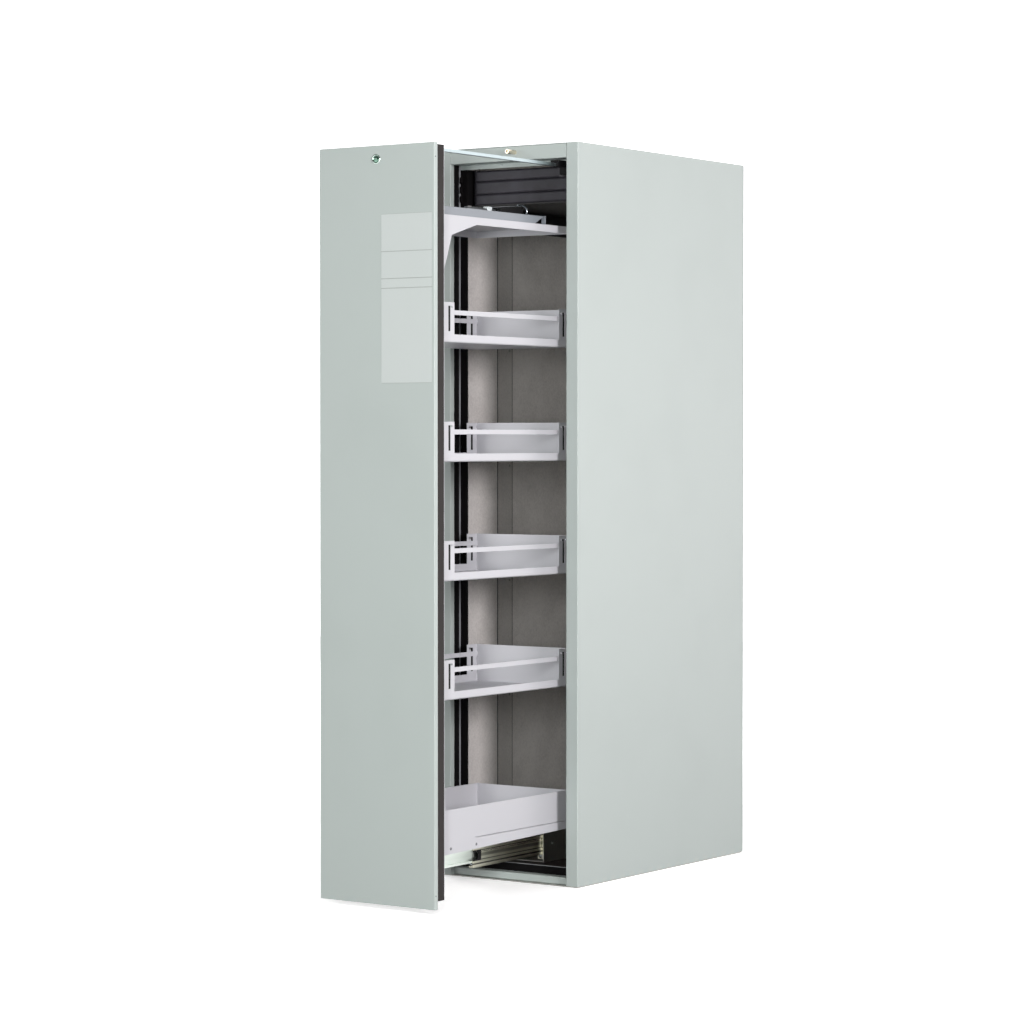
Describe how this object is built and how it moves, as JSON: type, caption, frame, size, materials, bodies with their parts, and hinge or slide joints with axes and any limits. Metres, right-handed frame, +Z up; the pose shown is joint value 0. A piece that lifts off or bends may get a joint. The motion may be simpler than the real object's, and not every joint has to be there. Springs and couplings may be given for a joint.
{
  "type": "fire-resistant storage cabinet",
  "caption": "Tall narrow fire-resistant cabinet with a full-height pull-out drawer front, slotted tray chassis on telescopic floor slides, ribbed head and roof exhaust collar.",
  "frame": {"origin": "centre of the cabinet's footprint on the floor, under the base pan", "axes": "+X to the right seen from the front, +Y towards the back wall, +Z up; the drawer pulls out along -Y"},
  "size_m": [0.45, 1.442, 1.991],
  "materials": {
    "mint_steel": "fine-textured powder coat",
    "white_steel": "smooth semi-gloss powder coat",
    "fire_board": "dense mineral fire board, dull",
    "front_board": "dense mineral fire board, dark-coated edge",
    "lining_board": "melamine-faced fire-resistant board",
    "black_rib": "black moulded block, dull",
    "black_steel": "black paint, dull",
    "seal": "expanding graphite strip and soft seal, dull",
    "edge_metal": "plain",
    "zinc_steel": "galvanised",
    "yellow_zinc": "yellow-passivated zinc",
    "bright_steel": "bright zinc",
    "housing_steel": "light grey powder coat",
    "slider_plastic": "glass-filled nylon"
  },
  "bodies": {
    "carcass": {"side_skin_left": "mint_steel", "side_skin_right": "mint_steel", "top_skin": "mint_steel", "rear_skin": "mint_steel", "base_pan": "zinc_steel", "top_rail": "mint_steel", "sill_rail": "mint_steel", "insulation_left": "fire_board", "insulation_right": "fire_board", "insulation_roof": "fire_board", "insulation_head": "fire_board", "insulation_head_top": "fire_board", "insulation_rear": "fire_board", "insulation_base": "fire_board", "lining_left": "lining_board", "lining_right": "lining_board", "lining_rear": "lining_board", "lining_ceiling": "lining_board", "lining_floor": "lining_board", "head_block": "black_rib", "head_rail": "black_steel", "fire_strips": "seal", "edge_trims": "edge_metal", "door_gasket": "seal", "vent_duct": "black_rib", "exhaust_collar": "bright_steel", "slide_channel": "zinc_steel", "slide_fixed_left": "zinc_steel", "slide_fixed_right": "zinc_steel", "release_stud": "bright_steel"},
    "outer_cages": {"ball_cages_outer": "bright_steel"},
    "slide_middles": {"slide_middle_left": "yellow_zinc", "slide_middle_right": "yellow_zinc"},
    "inner_cages": {"ball_cages_inner": "bright_steel"},
    "drawer": {"front_skin": "mint_steel", "front_core": "front_board", "front_plate": "white_steel", "lock_body": "bright_steel", "chassis_side_left": "white_steel", "chassis_side_right": "white_steel", "base_frame": "white_steel", "top_shelf": "white_steel", "closer_housing": "housing_steel", "front_uprights": "white_steel", "chassis_beam": "zinc_steel", "slide_inner_left": "yellow_zinc", "slide_inner_right": "yellow_zinc", "tray_1": "white_steel", "tray_2": "white_steel", "tray_3": "white_steel", "tray_4": "white_steel", "tray_rails": "white_steel", "sump_tray": "white_steel", "guide_bar": "bright_steel", "guide_slider": "slider_plastic", "soft_close_damper": "bright_steel"},
    "lock": {"lock_plug": "bright_steel", "lock_cam": "zinc_steel"}
  },
  "joints": [
    {"name": "drawer_slide", "type": "slide", "parent": "carcass", "child": "drawer", "axis": [0, -1, 0], "range_m": [-0.58, 0]},
    {"name": "outer_cage_slide", "type": "slide", "parent": "carcass", "child": "outer_cages", "axis": [0, -1, 0], "range_m": [-0.146, 0.001]},
    {"name": "middle_slide", "type": "slide", "parent": "carcass", "child": "slide_middles", "axis": [0, -1, 0], "range_m": [-0.291, 0.001]},
    {"name": "inner_cage_slide", "type": "slide", "parent": "carcass", "child": "inner_cages", "axis": [0, -1, 0], "range_m": [-0.436, 0.001]},
    {"name": "lock_turn", "type": "hinge", "parent": "drawer", "child": "lock", "pos_m": [0, -1.01, 1.8878], "axis": [0, -1, 0], "range_deg": [0, 90]}
  ],
  "couplings": [
    {"joint": "outer_cage_slide", "follows": "drawer_slide", "ratio": 0.25},
    {"joint": "middle_slide", "follows": "drawer_slide", "ratio": 0.5},
    {"joint": "inner_cage_slide", "follows": "drawer_slide", "ratio": 0.75}
  ]
}
